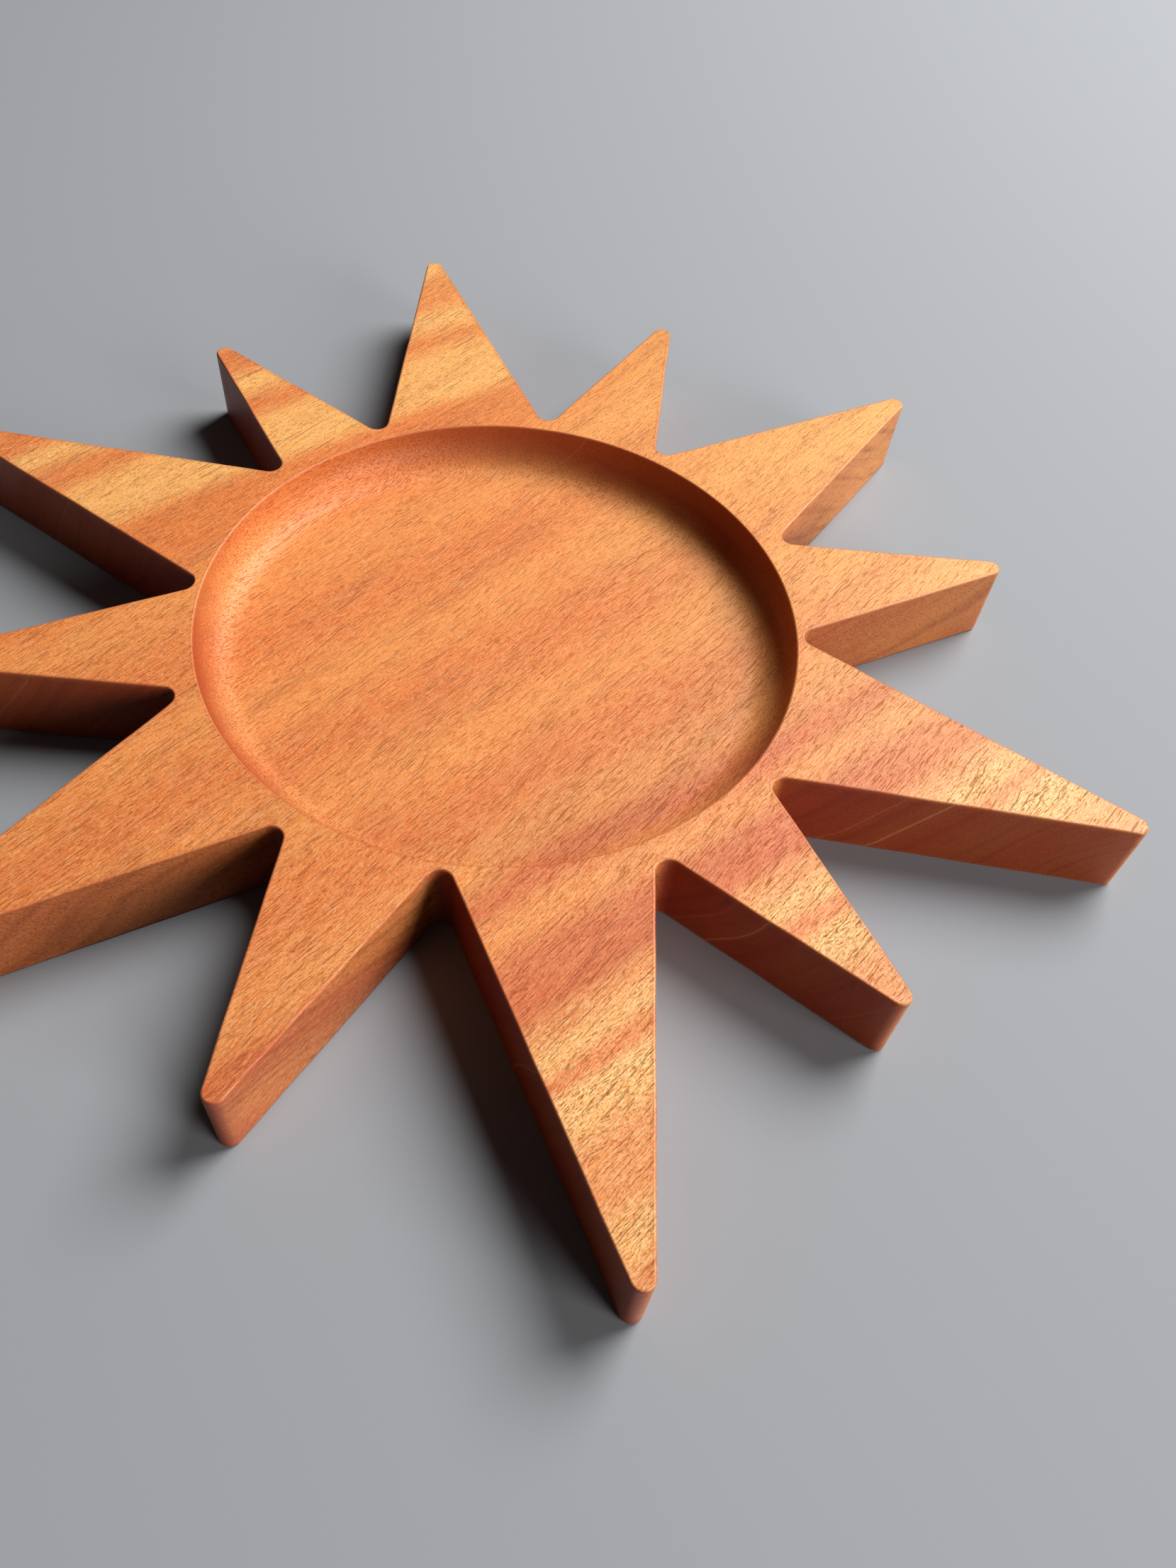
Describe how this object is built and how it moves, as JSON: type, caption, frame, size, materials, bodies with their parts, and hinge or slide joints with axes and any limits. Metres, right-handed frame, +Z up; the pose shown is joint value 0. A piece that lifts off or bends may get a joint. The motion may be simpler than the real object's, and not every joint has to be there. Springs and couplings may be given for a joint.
{
  "type": "bottle coaster",
  "caption": "Wooden sunburst coaster: a board with long and short pointed rays in turn round a coved round recess that a wine bottle stands in.",
  "frame": {"origin": "centre of the underside, on the axis of the recess", "axes": "+Z up along the recess axis, -Y along the middle of the foremost long ray, +X to its right seen from that ray's side"},
  "size_m": [0.1883, 0.2204, 0.015],
  "materials": {
    "oiled_mahogany": "satin oiled mahogany, red-brown, straight grain with a ribbon figure"
  },
  "bodies": {
    "root": {"sunburst_board": "oiled_mahogany"}
  },
  "joints": []
}
